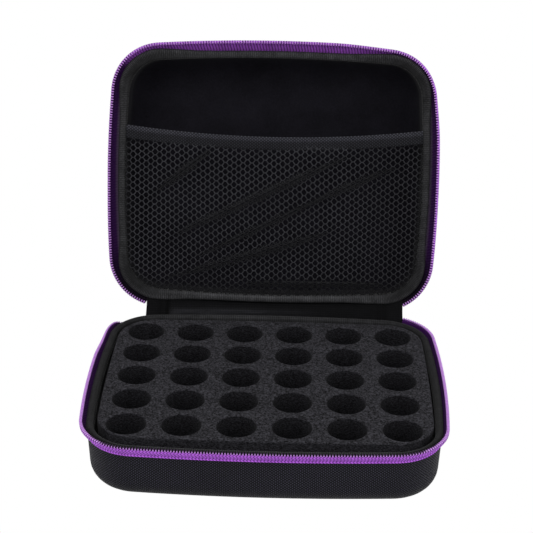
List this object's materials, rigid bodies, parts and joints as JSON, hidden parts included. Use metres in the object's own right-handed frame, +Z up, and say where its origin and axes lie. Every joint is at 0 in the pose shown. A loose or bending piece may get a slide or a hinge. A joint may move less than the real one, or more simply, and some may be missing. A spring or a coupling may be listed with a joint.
{
  "type": "essential oil storage box",
  "caption": "Zip-around moulded fabric case with a bored foam insert for small bottles, a fabric-hinged lid, a net pocket and two zip sliders with swinging pulls.",
  "frame": {"origin": "centre of the flat underside of the base", "axes": "+X right, +Y to the back where the lid is hinged, +Z up; the lid stands open 106.3 degrees at rest, as pictured"},
  "size_m": [0.2616, 0.3075, 0.2503],
  "materials": {
    "shell_nylon": "woven nylon bonded to moulded foam, matt",
    "lining": "brushed black lining",
    "binding": "ribbed binding tape",
    "zip_tape": "woven herringbone tape, purple",
    "zip_teeth": "moulded teeth, pale lilac",
    "hinge_strip": "woven fabric strip, stitched",
    "foam": null,
    "net": "knitted mesh",
    "hem": "ribbed elastic",
    "slider": "black lacquered zinc",
    "zip_stop": "black lacquered zinc"
  },
  "bodies": {
    "base": {"base_shell": "shell_nylon", "base_lining": "lining", "base_binding": "binding", "base_zip_tape": "zip_tape", "base_zip_teeth": "zip_teeth", "hinge_strip_base": "hinge_strip", "foam_insert": "foam", "zip_end_tape_left": "zip_tape", "zip_end_tape_right": "zip_tape", "zip_end_teeth_left": "zip_teeth", "zip_end_teeth_right": "zip_teeth", "zip_stop_left": "zip_stop", "zip_stop_right": "zip_stop", "slider_left": "slider", "slider_right": "slider"},
    "lid": {"lid_shell": "shell_nylon", "lid_lining": "lining", "lid_binding": "binding", "lid_zip_tape": "zip_tape", "lid_zip_teeth": "zip_teeth", "hinge_strip_lid": "hinge_strip", "pocket_net": "net", "pocket_hem": "hem"},
    "pull_left": {"pull_left": "slider"},
    "pull_right": {"pull_right": "slider"}
  },
  "joints": [
    {"name": "lid_hinge", "type": "hinge", "parent": "base", "child": "lid", "pos_m": [0, 0.1062, 0.0457], "axis": [-1, 0, 0], "range_deg": [-106.3, 73.7]},
    {"name": "pull_left_swing", "type": "hinge", "parent": "base", "child": "pull_left", "pos_m": [-0.07737, 0.10611, 0.02981], "axis": [-0.0594, 0.9971, -0.0472], "range_deg": [-45, 45]},
    {"name": "pull_right_swing", "type": "hinge", "parent": "base", "child": "pull_right", "pos_m": [0.0834, 0.10574, 0.02981], "axis": [0.064, 0.9968, -0.0472], "range_deg": [-45, 45]}
  ]
}
